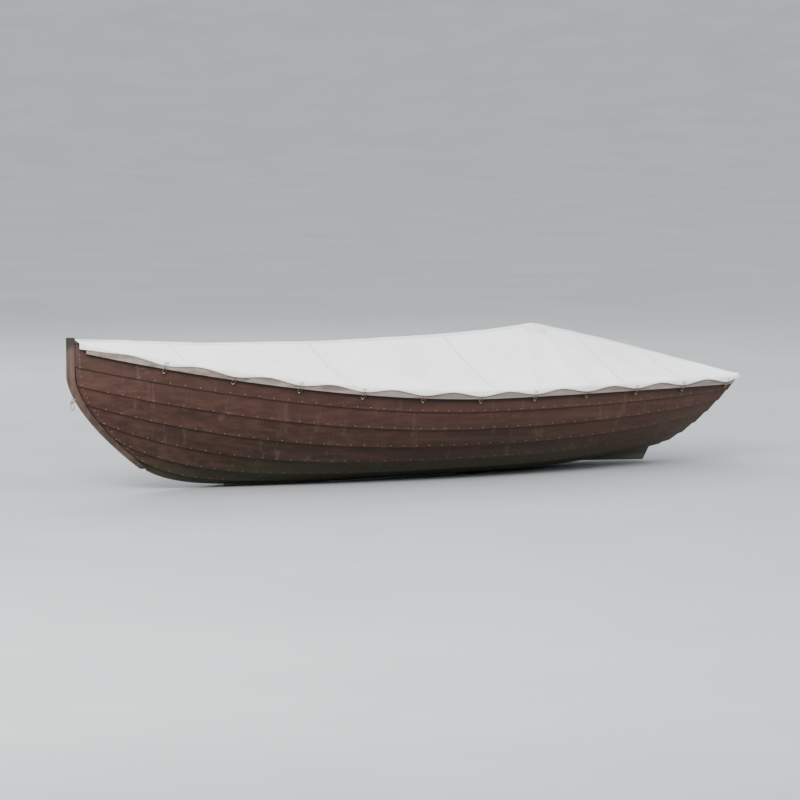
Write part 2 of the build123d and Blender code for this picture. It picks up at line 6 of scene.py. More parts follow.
import bpy
import numpy as np
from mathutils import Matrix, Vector, noise
from mathutils.bvhtree import BVHTree


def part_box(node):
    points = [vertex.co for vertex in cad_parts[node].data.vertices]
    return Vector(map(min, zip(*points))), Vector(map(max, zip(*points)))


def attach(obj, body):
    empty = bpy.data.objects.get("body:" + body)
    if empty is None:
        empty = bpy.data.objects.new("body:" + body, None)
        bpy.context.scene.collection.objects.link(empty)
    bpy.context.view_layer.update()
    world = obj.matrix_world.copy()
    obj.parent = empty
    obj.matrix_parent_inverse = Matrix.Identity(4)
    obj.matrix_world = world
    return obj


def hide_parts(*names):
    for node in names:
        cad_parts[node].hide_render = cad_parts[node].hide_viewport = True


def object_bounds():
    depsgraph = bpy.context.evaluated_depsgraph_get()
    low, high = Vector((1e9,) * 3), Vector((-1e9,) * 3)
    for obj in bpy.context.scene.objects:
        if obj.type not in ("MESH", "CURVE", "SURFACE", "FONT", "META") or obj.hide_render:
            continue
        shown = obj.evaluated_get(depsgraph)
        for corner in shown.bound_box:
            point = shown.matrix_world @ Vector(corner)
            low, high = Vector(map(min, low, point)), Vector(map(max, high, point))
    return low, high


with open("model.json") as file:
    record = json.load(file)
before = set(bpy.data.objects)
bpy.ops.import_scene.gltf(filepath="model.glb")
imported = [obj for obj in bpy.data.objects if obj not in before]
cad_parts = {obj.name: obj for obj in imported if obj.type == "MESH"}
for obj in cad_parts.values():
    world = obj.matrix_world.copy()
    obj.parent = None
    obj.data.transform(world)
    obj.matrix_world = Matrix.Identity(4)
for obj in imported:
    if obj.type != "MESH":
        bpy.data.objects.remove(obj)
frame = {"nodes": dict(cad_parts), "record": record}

CAD_BOX = [list(corner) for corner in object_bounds()]
NODES = frame["nodes"]
SLOTS = {p["node"]: p["material_slot"] for p in frame["record"]["subparts"]}

# The CAD's own sizes in metres: the pole, the ties, and the transom's top, thickness and rake.
POLE_X = -0.890
TIE_PITCH = 0.358
TIES = [POLE_X + TIE_PITCH * (i - 3) for i in range(11)]
TRANSOM_TOP_X, TRANSOM_TOP_Z = -2.0468, 0.508
TRANSOM_THICK = 0.024
TRANSOM_RAKE = radians(39.0)
STRAKES = ["garboard", "strake_2", "strake_3", "strake_4", "strake_5", "strake_6", "sheer_strake"]
SIDES = {"port": 1.0, "starboard": -1.0}


# ---------------------------------------------------------------- material kit
class Mat:
    """A node material built with short calls."""

    def __init__(self, name):
        self.mat = bpy.data.materials.new(name)
        self.mat.use_nodes = True
        self.tree = self.mat.node_tree
        self.shader = self.tree.nodes["Principled BSDF"]
        self.where = self.node("ShaderNodeTexCoord").outputs["Object"]

    def node(self, kind, **settings):
        made = self.tree.nodes.new(kind)
        for key, value in settings.items():
            setattr(made, key, value)
        return made

    def link(self, source, socket):
        self.tree.links.new(source, socket)

    def feed(self, value, socket):
        if isinstance(value, (int, float, tuple)):
            socket.default_value = value
        else:
            self.link(value, socket)

    def scaled(self, x, y, z):
        made = self.node("ShaderNodeMapping")
        made.inputs["Scale"].default_value = (x, y, z)
        self.link(self.where, made.inputs["Vector"])
        return made.outputs["Vector"]

    def noise(self, scale, detail=4.0, stretch=(1, 1, 1), rough=0.55, warp=0.0):
        made = self.node("ShaderNodeTexNoise")
        made.inputs["Scale"].default_value = scale
        made.inputs["Detail"].default_value = detail
        made.inputs["Roughness"].default_value = rough
        made.inputs["Distortion"].default_value = warp
        self.link(self.scaled(*stretch), made.inputs["Vector"])
        return made.outputs["Fac"]

    def spots(self, scale):
        made = self.node("ShaderNodeTexVoronoi")
        made.inputs["Scale"].default_value = scale
        self.link(self.where, made.inputs["Vector"])
        return made.outputs["Distance"]

    def waves(self, scale, axis="X", warp=0.0, source=None):
        made = self.node("ShaderNodeTexWave", bands_direction=axis)
        made.inputs["Scale"].default_value = scale
        made.inputs["Distortion"].default_value = warp
        self.link(source or self.where, made.inputs["Vector"])
        return made.outputs["Fac"]

    def axis(self, name, source=None):
        made = self.node("ShaderNodeSeparateXYZ")
        self.link(source or self.where, made.inputs[0])
        return made.outputs[name]

    def ramp(self, fac, *stops, smooth=False):
        made = self.node("ShaderNodeValToRGB")
        if smooth:
            made.color_ramp.interpolation = "EASE"
        bar = made.color_ramp.elements
        while len(bar) < len(stops):
            bar.new(0.5)
        for element, (at, tone) in zip(bar, stops):
            element.position = at
            element.color = (*tone, 1.0)
        self.link(fac, made.inputs["Fac"])
        return made.outputs["Color"]

    def span(self, value, low, high, to_low=0.0, to_high=1.0):
        made = self.node("ShaderNodeMapRange")
        self.feed(value, made.inputs["Value"])
        for key, number in zip(("From Min", "From Max", "To Min", "To Max"), (low, high, to_low, to_high)):
            made.inputs[key].default_value = number
        return made.outputs["Result"]

    def math(self, kind, a, b=0.0):
        made = self.node("ShaderNodeMath", operation=kind)
        self.feed(a, made.inputs[0])
        self.feed(b, made.inputs[1])
        return made.outputs[0]

    def mix(self, fac, a, b):
        made = self.node("ShaderNodeMix", data_type="RGBA")
        self.feed(fac, made.inputs["Factor"])
        self.feed(a if not isinstance(a, tuple) else (*a, 1.0), made.inputs["A"])
        self.feed(b if not isinstance(b, tuple) else (*b, 1.0), made.inputs["B"])
        return made.outputs["Result"]

    def bump(self, height, strength, distance, under=None):
        made = self.node("ShaderNodeBump")
        made.inputs["Strength"].default_value = strength
        made.inputs["Distance"].default_value = distance
        self.link(height, made.inputs["Height"])
        if under is not None:
            self.link(under, made.inputs["Normal"])
        return made.outputs["Normal"]

    def soft_edges(self, radius):
        made = self.node("ShaderNodeBevel", samples=4)
        made.inputs["Radius"].default_value = radius
        return made.outputs["Normal"]

    def finish(self, color, rough, normal=None, metal=0.0, **plain):
        self.feed(color, self.shader.inputs["Base Color"])
        self.feed(rough, self.shader.inputs["Roughness"])
        self.shader.inputs["Metallic"].default_value = metal
        for key, value in plain.items():
            self.shader.inputs[key.replace("_", " ")].default_value = value
        if normal is not None:
            self.link(normal, self.shader.inputs["Normal"])
        return self.mat


def rgb(code):
    """Linear colour from a display colour written as six hex digits."""
    parts = [int(code[i:i + 2], 16) / 255.0 for i in (0, 2, 4)]
    return tuple(c / 12.92 if c <= 0.04045 else ((c + 0.055) / 1.055) ** 2.4 for c in parts)


def wood_grain(m, along=1.0):
    """Long fibres and growth bands, running along X."""
    fibres = m.noise(34.0, 6.0, (0.05 * along, 1, 1), 0.62)
    bands = m.noise(9.0, 3.0, (0.09 * along, 1, 1.6), 0.5, 0.8)
    return fibres, bands


def planking_paint():
    """Red-brown stain over lapped planks: darker and greener towards the bottom, lighter red-brown towards
    the sheer.
    """
    m = Mat("planking_paint")
    fibres, bands = wood_grain(m)
    own = m.node("ShaderNodeObjectInfo").outputs["Random"]
    height = m.axis("Z")
    wander = m.noise(2.2, 4.0, (0.6, 1, 1), 0.6)
    level = m.math("ADD", height, m.span(wander, 0.3, 0.7, -0.045, 0.045))
    # Tone by height: dark green-black at the bottom, rising to red-brown at the sheer.
    hull = m.ramp(
        m.span(level, 0.0, 0.9),
        (0.02, rgb("212519")), (0.13, rgb("282a1d")), (0.24, rgb("2e231a")), (0.42, rgb("37201a")),
        (0.62, rgb("40261e")), (0.95, rgb("482d22")), smooth=True)
    warm = m.ramp(
        m.span(m.axis("X"), -2.1, 2.1),
        (0.0, rgb("5e402c")), (0.45, rgb("432a22")), (1.0, rgb("32201b")))
    hull = m.mix(0.34, hull, warm)
    hull = m.mix(m.span(bands, 0.35, 0.68, 0.0, 0.5), hull, rgb("21130f"))
    hull = m.mix(m.span(fibres, 0.42, 0.78, 0.0, 0.42), hull, rgb("5c4235"))
    hull = m.mix(m.span(own, 0.0, 1.0, 0.0, 0.28), hull, rgb("241712"))
    streaks = m.noise(15.0, 5.0, (1.0, 1.0, 0.07), 0.7)
    hull = m.mix(m.span(streaks, 0.57, 0.78, 0.0, 0.34), hull, rgb("655a52"))
    scuffs = m.noise(6.0, 9.0, (0.35, 1, 1), 0.78)
    worn = m.span(scuffs, 0.62, 0.70, 0.0, 0.55)
    hull = m.mix(worn, hull, rgb("665240"))
    patches = m.span(m.noise(26.0, 6.0), 0.38, 0.62, 0.25, 0.95)
    slime = m.math("MULTIPLY", m.span(level, 0.17, 0.06), patches)
    hull = m.mix(slime, hull, rgb("2c3422"))
    rough = m.span(fibres, 0.3, 0.8, 0.46, 0.72)
    height_map = m.math("ADD", m.math("MULTIPLY", fibres, 0.7), m.math("MULTIPLY", scuffs, 0.5))
    normal = m.bump(height_map, 0.5, 0.0012, m.soft_edges(0.0018))
    return m.finish(hull, rough, normal, Specular_IOR_Level=0.24)


def bare_wood(name, dark, mid, pale, gloss=(0.5, 0.75), depth=0.0008, along=1.0, edge=0.0018, grime=0.3):
    """Wood with visible grain, checks along it and a little grime."""
    m = Mat(name)
    fibres, bands = wood_grain(m, along)
    tone = m.mix(m.span(bands, 0.32, 0.7), dark, mid)
    tone = m.mix(m.span(fibres, 0.4, 0.75, 0.0, 0.75), tone, pale)
    checks = m.noise(60.0, 3.0, (0.03, 1, 1), 0.4)
    crack = m.span(checks, 0.68, 0.74, 0.0, 0.7)
    tone = m.mix(crack, tone, tuple(c * 0.35 for c in dark))
    dirt = m.noise(5.0, 7.0, (1, 1, 1), 0.7)
    tone = m.mix(m.span(dirt, 0.5, 0.75, 0.0, grime), tone, tuple(c * 0.5 for c in mid))
    relief = m.math("SUBTRACT", fibres, m.math("MULTIPLY", crack, 0.8))
    normal = m.bump(relief, 0.55, depth, m.soft_edges(edge))
    return m.finish(tone, m.span(fibres, 0.3, 0.8, *gloss), normal, Specular_IOR_Level=0.4)


def upright_wood(name, dark, mid, pale):
    """As bare_wood, with the grain upright, a dark head and a green foot, for the two stems."""
    m = Mat(name)
    fibres = m.noise(32.0, 6.0, (1, 1, 0.06), 0.62)
    bands = m.noise(10.0, 3.0, (1.3, 1, 0.1), 0.5, 0.7)
    tone = m.mix(m.span(bands, 0.32, 0.7), dark, mid)
    tone = m.mix(m.span(fibres, 0.42, 0.78, 0.0, 0.6), tone, pale)
    head = m.math("ADD", m.axis("Z"), m.span(m.noise(14.0, 4.0), 0.3, 0.7, -0.02, 0.02))
    tone = m.mix(m.span(head, 0.78, 0.83, 0.0, 0.85), tone, rgb("0f0d0c"))
    low = m.math("MULTIPLY", m.span(head, 0.22, 0.1), m.span(m.noise(24.0, 6.0), 0.35, 0.65, 0.2, 0.9))
    tone = m.mix(low, tone, rgb("2b3024"))
    normal = m.bump(fibres, 0.5, 0.001, m.soft_edges(0.004))
    return m.finish(tone, m.span(fibres, 0.3, 0.8, 0.45, 0.7), normal, Specular_IOR_Level=0.4)


def transom_wood():
    """Dark stained transom with wide boards' joints across it and a green tide mark."""
    m = Mat("transom_wood")
    fibres = m.noise(30.0, 6.0, (1, 0.05, 1), 0.62)
    bands = m.noise(11.0, 3.0, (1, 0.1, 1.5), 0.5, 0.8)
    tone = m.mix(m.span(bands, 0.32, 0.7), rgb("2b221c"), rgb("4a3a31"))
    tone = m.mix(m.span(fibres, 0.42, 0.78, 0.0, 0.55), tone, rgb("6b5a4c"))
    runs = m.noise(16.0, 5.0, (1, 1, 0.08), 0.7)
    tone = m.mix(m.span(runs, 0.55, 0.75, 0.0, 0.5), tone, rgb("3f463b"))
    patches = m.span(m.noise(24.0, 6.0), 0.35, 0.65, 0.2, 0.9)
    low = m.math("MULTIPLY", m.span(m.axis("Z"), 0.24, 0.12), patches)
    tone = m.mix(low, tone, rgb("2c3127"))
    seam = m.waves(1.42, "Z")
    joint = m.span(seam, 0.985, 0.999, 0.0, 0.9)
    tone = m.mix(joint, tone, rgb("120e0b"))
    relief = m.math("SUBTRACT", m.math("MULTIPLY", fibres, 0.6), joint)
    normal = m.bump(relief, 0.6, 0.0012, m.soft_edges(0.0025))
    return m.finish(tone, m.span(fibres, 0.3, 0.8, 0.45, 0.7), normal, Specular_IOR_Level=0.4)


def canvas():
    """Proofed white canvas: plain weave, faint mottling, damp marks and a duller fore part."""
    m = Mat("cover_canvas_cloth")
    warp = m.waves(260.0, "X", 0.4)
    weft = m.waves(260.0, "Y", 0.4)
    weave = m.math("MULTIPLY", warp, weft)
    cloud = m.noise(2.4, 6.0, (1, 1, 1), 0.6)
    blotch = m.noise(9.0, 8.0, (1, 1, 1), 0.72)
    tone = m.ramp(cloud, (0.30, rgb("eaeaeb")), (0.5, rgb("f6f6f7")), (0.72, rgb("fdfdfd")))
    tone = m.mix(m.span(blotch, 0.55, 0.78, 0.0, 0.2), tone, rgb("cfccc3"))
    fore = m.span(m.axis("X"), 0.4, 2.0, 0.0, 0.22)
    tone = m.mix(fore, tone, rgb("d6d6d5"))
    drip = m.noise(20.0, 6.0, (1.0, 0.12, 0.12), 0.7)
    tone = m.mix(m.span(drip, 0.6, 0.78, 0.0, 0.2), tone, rgb("b4b3a8"))
    tone = m.mix(m.span(weave, 0.0, 0.5, 0.08, 0.0), tone, rgb("9c9a94"))
    relief = m.math("ADD", m.math("MULTIPLY", weave, 0.5), m.math("MULTIPLY", blotch, 0.9))
    normal = m.bump(relief, 0.35, 0.0009)
    return m.finish(
        tone, m.span(blotch, 0.3, 0.8, 0.62, 0.8), normal, Specular_IOR_Level=0.25,
        Sheen_Weight=0.12, Sheen_Roughness=0.5)


def stitched_canvas(rows, base="e6e6e4"):
    """Doubled canvas strip: U runs along it in metres and V across it from 0 to 1, with rows of stitches."""
    m = Mat(f"stitched_canvas_{len(rows)}_{base}")
    uv = m.node("ShaderNodeUVMap").outputs["UV"]
    along, across = m.axis("X", uv), m.axis("Y", uv)
    blotch = m.noise(11.0, 8.0, (1, 1, 1), 0.72)
    tone = m.mix(m.span(blotch, 0.4, 0.75, 0.0, 0.4), rgb(base), rgb("bcb9b0"))
    dash = m.math("PINGPONG", m.math("MULTIPLY", along, 1.0 / 0.0045), 1.0)
    dash = m.span(dash, 0.32, 0.42)
    stitches = None
    for row in rows:
        near = m.math("ABSOLUTE", m.math("SUBTRACT", across, row))
        line = m.math("MULTIPLY", m.span(near, 0.035, 0.02), dash)
        stitches = line if stitches is None else m.math("MAXIMUM", stitches, line)
    tone = m.mix(m.math("MULTIPLY", stitches, 0.55), tone, rgb("8f8c82"))
    weave = m.math("MULTIPLY", m.waves(260.0, "X", 0.4), m.waves(260.0, "Z", 0.4))
    relief = m.math("SUBTRACT", m.math("MULTIPLY", weave, 0.3), m.math("MULTIPLY", stitches, 1.2))
    normal = m.bump(relief, 0.6, 0.0009)
    return m.finish(tone, 0.74, normal, Specular_IOR_Level=0.25, Sheen_Weight=0.1)


def webbing():
    """Ribbed tape for the cover's tabs, faded in patches."""
    m = Mat("tab_webbing")
    rib = m.math("MULTIPLY", m.waves(170.0, "X", 0.3), m.waves(240.0, "Z", 0.3))
    fade = m.noise(40.0, 5.0)
    tone = m.mix(m.span(fade, 0.35, 0.7), rgb("b9b6ac"), rgb("dedcd5"))
    tone = m.mix(m.span(rib, 0.0, 0.6, 0.3, 0.0), tone, rgb("7d7a70"))
    return m.finish(tone, 0.78, m.bump(rib, 0.6, 0.0008, m.soft_edges(0.0006)), Specular_IOR_Level=0.25)


def elastic_cord():
    """Braided sheath: two slanted sets of strands with a pale tracer."""
    m = Mat("elastic_cord")
    turned = []
    for degrees in (40.0, -40.0):
        slant = m.node("ShaderNodeMapping")
        slant.inputs["Rotation"].default_value = (0.0, radians(degrees), 0.0)
        m.link(m.where, slant.inputs["Vector"])
        turned.append(slant.outputs["Vector"])
    braid = m.math("MAXIMUM", *[m.waves(190.0, "X", 0.0, way) for way in turned])
    tracer = m.span(m.waves(42.0, "X", 0.0, turned[0]), 0.86, 0.94)
    tone = m.mix(m.span(braid, 0.3, 1.0), rgb("121312"), rgb("3a3b38"))
    tone = m.mix(tracer, tone, rgb("b9b5a6"))
    return m.finish(tone, 0.7, m.bump(braid, 0.7, 0.0007), Specular_IOR_Level=0.3)


def metal(name, low, high, rough, tarnish, amount, grain=0.0):
    """Metal with tarnish in patches and fine scratches."""
    m = Mat(name)
    patches = m.noise(38.0, 7.0, (1, 1, 1), 0.7)
    fine = m.noise(420.0, 3.0, (1, 1, 0.15), 0.6)
    tone = m.mix(m.span(patches, 0.3, 0.7), low, high)
    tone = m.mix(m.span(patches, 0.52, 0.7, 0.0, amount), tone, tarnish)
    gloss = m.math("ADD", m.span(patches, 0.4, 0.75, rough, rough + 0.28), m.math("MULTIPLY", fine, 0.08))
    relief = m.math("ADD", m.math("MULTIPLY", fine, 0.3 + grain), patches)
    normal = m.bump(relief, 0.3, 0.0004, m.soft_edges(0.0006))
    return m.finish(tone, gloss, normal, 1.0)


def moulded(name, tone, rough, size):
    """Moulded plastic or rubber with a fine grained skin and scuffs."""
    m = Mat(name)
    pores = m.spots(size)
    scuff = m.noise(70.0, 8.0, (1, 1, 1), 0.75)
    pale = tuple(min(1.0, c * 2.6 + 0.02) for c in tone)
    color = m.mix(m.span(scuff, 0.56, 0.74, 0.0, 0.6), tone, pale)
    normal = m.bump(pores, 0.35, 0.0004, m.soft_edges(0.0009))
    return m.finish(color, m.span(scuff, 0.3, 0.8, rough, rough + 0.18), normal)


def rivet_copper():
    """Dull copper with a green bloom in places."""
    m = Mat("rivet_copper")
    patina = m.noise(160.0, 6.0, (1, 1, 1), 0.7)
    area = m.noise(4.0, 3.0)
    tone = m.mix(m.span(patina, 0.3, 0.7), rgb("6e4634"), rgb("8f6149"))
    tone = m.mix(m.span(area, 0.45, 0.7, 0.0, 0.55), tone, rgb("5c6b5c"))
    return m.finish(tone, m.span(patina, 0.3, 0.7, 0.42, 0.66), m.bump(patina, 0.4, 0.0004), 0.85)


def dress():
    """Gives every CAD node its material by the record's slot."""
    by_slot = {
        "planking": planking_paint(),
        "bottom_wood": bare_wood(
            "bottom_wood", rgb("2a2a22"), rgb("3c382d"), rgb("5a5346"), grime=0.6),
        "backbone_wood": upright_wood("stem_wood", rgb("2c201a"), rgb("4a362c"), rgb("6d594b")),
        "rail_wood": bare_wood(
            "rail_wood", rgb("5b4f48"), rgb("7c6f69"), rgb("9a8f88"), (0.62, 0.85), 0.0011, edge=0.004),
        "inner_wood": bare_wood(
            "inner_wood", rgb("5f3d24"), rgb("8a5c38"), rgb("b2855a"), (0.3, 0.5), 0.0004, grime=0.25),
        "seat_wood": bare_wood(
            "seat_wood", rgb("6b4629"), rgb("97683f"), rgb("bd9264"), (0.28, 0.46), 0.0004, edge=0.003),
        "floor_wood": bare_wood(
            "floor_wood", rgb("5c5142"), rgb("85765f"), rgb("a99b83"), (0.6, 0.85), 0.0009, edge=0.002),
        "canvas": canvas(),
        "tie_cord": elastic_cord(),
        "galvanised": metal("galvanised", rgb("8b8e8f"), rgb("b3b6b7"), 0.42, rgb("6f6a62"), 0.7),
        "brass": metal("brass", rgb("8a6c3a"), rgb("b8945a"), 0.3, rgb("4d4431"), 0.8),
        "pole_metal": metal("pole_metal", rgb("a9abad"), rgb("c3c5c7"), 0.28, rgb("8a8b8c"), 0.4, 0.4),
        "pole_plastic": moulded("pole_plastic", rgb("191a1b"), 0.42, 900.0),
        "pole_rubber": moulded("pole_rubber", rgb("151515"), 0.66, 700.0),
    }
    special = {
        "transom": transom_wood(),
        "cover_tabs": webbing(),
        "transom_cap": bare_wood(
            "cap_wood", rgb("241d18"), rgb("3f342c"), rgb("63574c"), along=20.0, edge=0.004),
        "ribs": bare_wood(
            "rib_wood", rgb("6a4529"), rgb("94643c"), rgb("bb8d5f"), (0.3, 0.5), 0.0004, 12.0),
    }
    for name, obj in NODES.items():
        made = special.get(name) or by_slot[SLOTS[name]]
        if not obj.data.materials:
            obj.data.materials.append(made)
        for i in range(len(obj.material_slots)):
            obj.material_slots[i].link = "OBJECT"
            obj.material_slots[i].material = made
    return by_slot


# ---------------------------------------------------------------- mesh helpers
def new_mesh(name, verts, faces, material, body, uvs=None):
    """A smooth-shaded piece that rides on a body and takes the given material."""
    mesh = bpy.data.meshes.new(name)
    mesh.from_pydata([tuple(v) for v in verts], [], faces)
    mesh.validate()
    if uvs is not None:
        layer = mesh.uv_layers.new(name="UVMap")
        for loop in mesh.loops:
            layer.data[loop.index].uv = uvs[loop.vertex_index]
    mesh.polygons.foreach_set("use_smooth", [True] * len(mesh.polygons))
    mesh.materials.append(material)
    obj = bpy.data.objects.new(name, mesh)
    bpy.context.scene.collection.objects.link(obj)
    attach(obj, body)
    return obj


def grid_faces(rows, columns):
    """Quads of a grid whose points are stored row by row."""
    faces = []
    for i in range(rows - 1):
        for j in range(columns - 1):
            a = i * columns + j
            faces.append((a, a + columns, a + columns + 1, a + 1))
    return faces


def ring_faces(rings, turns):
    """Faces of a disc: point 0 in its middle, then rings of turns points going outwards."""
    faces = [(0, 1 + j, 1 + (j + 1) % turns) for j in range(turns)]
    for i in range(rings - 1):
        for j in range(turns):
            a, b = 1 + i * turns + j, 1 + i * turns + (j + 1) % turns
            faces.append((a, a + turns, b + turns, b))
    return faces


def tree_of(*names):
    """A ray-casting tree over CAD nodes, and which node each face belongs to."""
    verts, faces, owner = [], [], []
    for name in names:
        mesh = NODES[name].data
        start = len(verts)
        verts += [v.co.copy() for v in mesh.vertices]
        for face in mesh.polygons:
            faces.append([start + i for i in face.vertices])
            owner.append(name)
    return BVHTree.FromPolygons(verts, faces), owner


# ---------------------------------------------------------------- the cover's cloth
DOWN, UP = Vector((0, 0, -1)), Vector((0, 0, 1))
TURN = 0.90  # share of the way from ridge to hem at which the cloth turns down
BEND = 0.012  # radius of that turn
CROWN = 0.0008  # how far a sewn strip stands up
STRIP_PROFILE = [
    (-0.5, -0.0012), (-0.46, CROWN), (-0.15, CROWN * 1.2), (0.15, CROWN * 1.2), (0.46, CROWN), (0.5, -0.0012)]
CROSS_SEAMS = (-1.62, -1.16, -0.28, 0.60, 1.48)

# Heights of the cloth's relief, and how deep it may dip: in the open, over the bow and by the rails.
TENSION_FOLD, SLACK_DIP, PANEL_SAG = 0.0125, 0.0095, 0.014
BROAD_WAVER, FINE_WAVER, CROW_FOOT = 0.0090, 0.0028, 0.0034
OPEN_LIMIT, BOW_LIMIT, RAIL_LIMIT = 0.03, 0.0008, 0.0038


class CoverShape:
    """Reads the CAD cover's outer skin: how high it is over a point, how wide, and where its hem is."""

    def __init__(self):
        self.tree, _ = tree_of("cover_port")
        low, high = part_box("cover_port")
        self.start, self.end = low[0] + 0.001, high[0] - 0.001
        self.cache = {}

    def top(self, x, y):
        hit = self.tree.ray_cast(Vector((x, max(abs(y), 0.0008), 3.0)), DOWN)
        return hit[0][2] if hit[0] is not None else None

    def station(self, x):
        """(outer half breadth, height of the hem) at x."""
        key = round(x, 4)
        if key not in self.cache:
            low, high = 0.0, 0.8
            for _ in range(16):
                middle = (low + high) / 2
                if self.tree.ray_cast(Vector((x, middle, -1.0)), UP)[0] is None:
                    high = middle
                else:
                    low = middle
            hem = self.tree.ray_cast(Vector((x, low - 0.0008, -1.0)), UP)[0][2]
            self.cache[key] = (low, hem)
        return self.cache[key]


def smooth_step(value, low, high):
    """0 below low, 1 above high, eased between."""
    share = min(1.0, max(0.0, (value - low) / (high - low)))
    return share * share * (3 - 2 * share)


def slack_at(x):
    """0 at a tie, 1 half way between two."""
    return 0.5 - 0.5 * cos(2 * pi * (x - POLE_X) / TIE_PITCH)


def fold_height(x, y, breadth):
    """Tension folds from the pole and ridge out to the ties, and the slack between, kept off the rails."""
    share = abs(y) / breadth
    away = abs(x - POLE_X)
    total = 0.0
    for tie in TIES:
        lean = 0.86 if abs(tie - POLE_X) < 1.3 else 0.42
        ridge_x = tie + lean * (POLE_X - tie)
        line_x = ridge_x + (tie - ridge_x) * share
        narrow = 1.0 / sqrt(1.0 + ((tie - ridge_x) / breadth) ** 2)
        off = (x - line_x) * narrow
        width = 0.022 + 0.030 * share
        strength = TENSION_FOLD * (0.35 + 0.65 * exp(-abs(tie - POLE_X) / 1.4))
        wander = 0.75 + 0.5 * noise.noise(Vector((tie * 3.1, share * 2.0, 4.0 if y > 0 else 9.0)))
        swell = smooth_step(share, 0.04, 0.35) * (1.0 - 0.25 * smooth_step(share, 0.85, 1.0))
        total += strength * wander * swell * exp(-((off / width) ** 2))
    total -= SLACK_DIP * slack_at(x) * smooth_step(share, 0.25, 0.8) * (1.0 - smooth_step(share, 0.93, 1.0))
    sag = PANEL_SAG * sin(pi * min(1.0, share)) * smooth_step(away, 0.15, 0.8)
    total -= sag * (1 - smooth_step(abs(x), 1.5, 1.95))
    place = Vector((x * 2.1, y * 2.6, 0.0))
    total += BROAD_WAVER * noise.noise(place) * smooth_step(share, 0.0, 0.2)
    total += FINE_WAVER * noise.noise(Vector((x * 7.0, y * 8.0, 3.0)))
    forward = OPEN_LIMIT - (OPEN_LIMIT - BOW_LIMIT) * smooth_step(x, 1.25, 1.6)
    by_rail = OPEN_LIMIT - (OPEN_LIMIT - RAIL_LIMIT) * smooth_step(share, 0.74, 0.9)
    return max(total, -forward, -by_rail)


def crow_feet(x, y, z, tie, edge, hem, side):
    """Small wrinkles that fan up out of a tie's tab."""
    dx, dy = x - tie, (edge - abs(y)) + max(0.0, z - hem) * 0.8
    reach = sqrt(dx * dx + dy * dy)
    if reach > 0.2:
        return 0.0
    angle = np.arctan2(dx, dy + 0.012)
    seed = tie * 5.0 + side
    waves = sin(9.0 * angle + seed) + 0.6 * sin(15.0 * angle + 2.0 * seed)
    return CROW_FOOT * waves * exp(-((reach / 0.085) ** 2)) * min(1.0, reach / 0.02)


class Cloth:
    """The finished cloth as a function of a station x and a share across, from -1 to 1 at the hems."""

    def __init__(self, shape):
        self.shape = shape

    def point(self, x, share, lift=0.0):
        side = 1.0 if share >= 0 else -1.0
        edge, hem = self.shape.station(x)
        across = abs(share)
        if across < TURN:
            y = (edge - BEND) * across / TURN
            z = self.shape.top(x, y)
            inner, outer = max(0.0, y - 0.01), min(edge - BEND, y + 0.01)
            slope = (self.shape.top(x, outer) - self.shape.top(x, inner)) / 0.02
            normal = Vector((0.0, -slope, 1.0)).normalized()
        else:
            down = (across - TURN) / (1.0 - TURN)
            arc = 0.30
            base = self.shape.top(x, edge - BEND)
            if down < arc:
                angle = pi / 2 * down / arc
                y = edge - BEND + BEND * sin(angle)
                z = base - BEND + BEND * cos(angle) - 0.002 * sin(angle)
                normal = Vector((0.0, sin(angle), cos(angle)))
            else:
                fall = (down - arc) / (1 - arc)
                y = edge + 0.0012 * sin(pi * fall) * slack_at(x)
                z = (base - BEND - 0.002) * (1 - fall) + hem * fall
                normal = Vector((0.0, 1.0, 0.0))
        raise_by = fold_height(x, side * y, edge)
        fade = 1.0 - smooth_step(across, TURN - 0.02, 1.0)
        for tie in TIES:
            if abs(x - tie) < 0.2:
                raise_by += crow_feet(x, y, z, tie, edge, hem, side) * (0.35 + 0.65 * fade)
        clear = 0.25 + 0.75 * fade
        end = smooth_step(x, self.shape.start, self.shape.start + 0.08)
        end *= 1.0 - smooth_step(x, self.shape.end - 0.06, self.shape.end)
        out = raise_by * clear * (0.15 + 0.85 * end) + lift
        if across >= TURN:
            out = max(out, -0.0012 + lift)
        return Vector((x, side * (y + normal.y * out), z + normal.z * out))


def cloth_grid(cloth, xs, shares, lift=0.0):
    return [cloth.point(x, s, lift) for x in xs for s in shares]


def strip(cloth, name, line, width, lift, material):
    """A sewn strip that follows the cloth along line, a list of (x, share), with its edges turned down."""
    points = [cloth.point(x, s, lift) for x, s in line]
    verts, uvs, run = [], [], 0.0
    for i, p in enumerate(points):
        before, after = points[max(0, i - 1)], points[min(len(points) - 1, i + 1)]
        ahead = (after - before).normalized()
        x, s = line[i]
        near = cloth.point(x, s + (0.01 if s < 0.98 else -0.01), lift) - p
        far = cloth.point(min(x + 0.01, cloth.shape.end), s, lift) - p
        if far.length < 1e-6:
            far = p - cloth.point(x - 0.01, s, lift)
        up = far.cross(near)
        outward = up.z if abs(s) < TURN else up.y * (1 if s >= 0 else -1)
        up = -up if outward < 0 else up
        up = up.normalized() if up.length > 1e-9 else Vector((0, 0, 1))
        side = ahead.cross(up).normalized()
        run += (p - before).length if i else 0.0
        for across, height in STRIP_PROFILE:
            verts.append(p + side * across * width + up * height)
            uvs.append((run, across + 0.5))
    faces = grid_faces(len(points), len(STRIP_PROFILE))
    return new_mesh(name, verts, faces, material, "cover", uvs)


